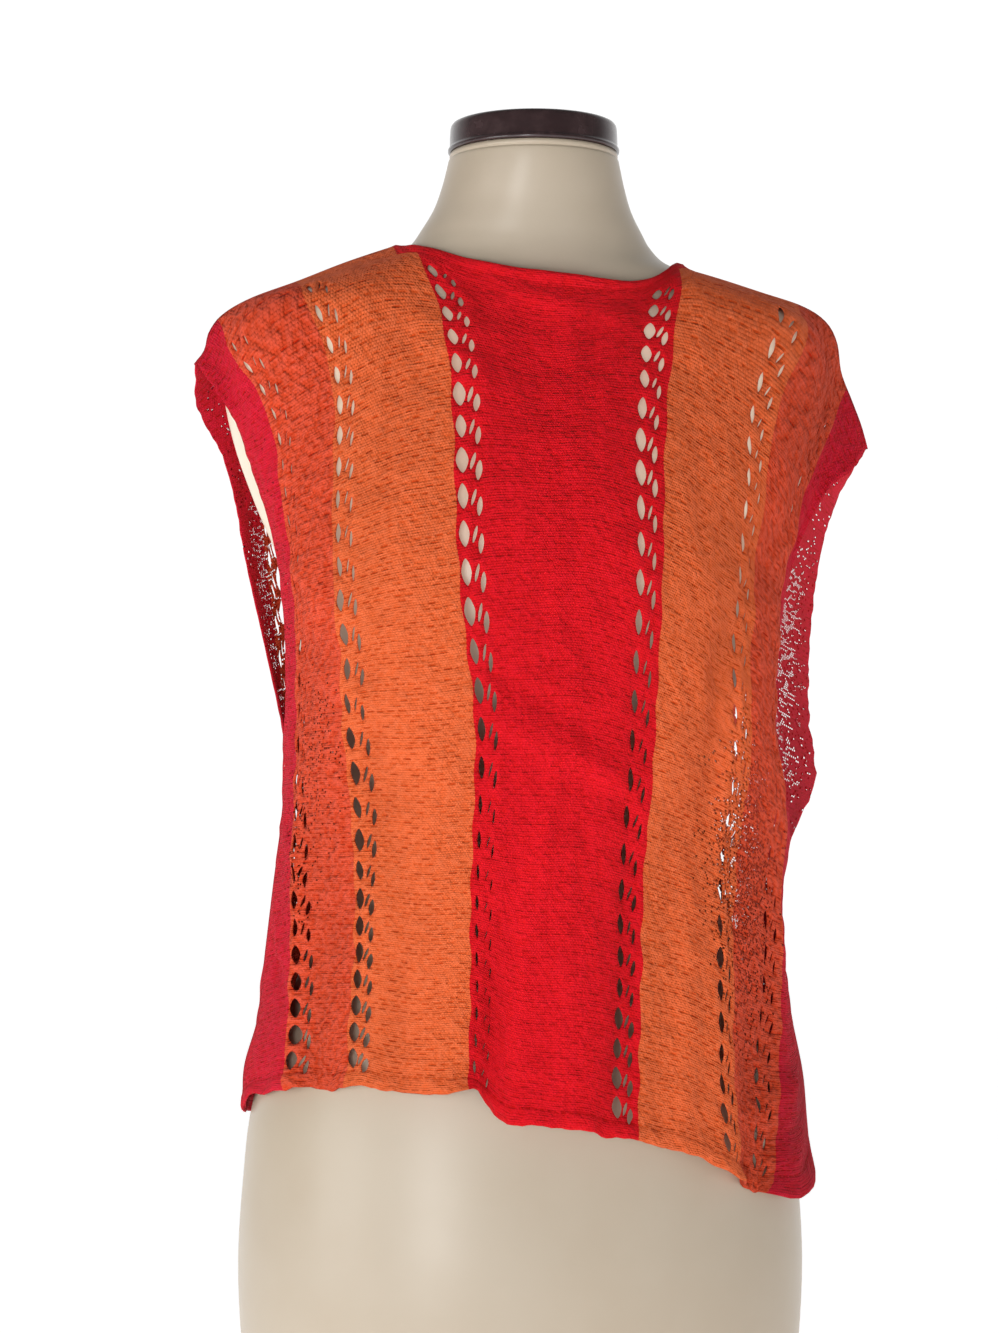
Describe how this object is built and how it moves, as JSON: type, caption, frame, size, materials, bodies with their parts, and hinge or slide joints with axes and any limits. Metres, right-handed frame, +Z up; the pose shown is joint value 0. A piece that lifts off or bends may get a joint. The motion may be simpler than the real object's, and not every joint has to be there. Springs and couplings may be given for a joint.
{
  "type": "sleeveless knit top on a dress form",
  "caption": "Sleeveless drop-shoulder knit top in vertical stripes with lace columns, hanging on a limbless dress form with a neck cap.",
  "frame": {"origin": "centre of the dress form's flat base", "axes": "+Z up along the form, the front of the top faces -Y, the wearer's left is +X"},
  "size_m": [0.4345, 0.2898, 0.8209],
  "materials": {
    "knit": "matte knit in crimson, rust, orange and red stripes",
    "form_shell": "cream satin shell",
    "cap": "dark brown satin"
  },
  "bodies": {
    "root": {"front_panel": "knit", "back_panel": "knit", "dress_form": "form_shell", "neck_cap": "cap"}
  },
  "joints": []
}
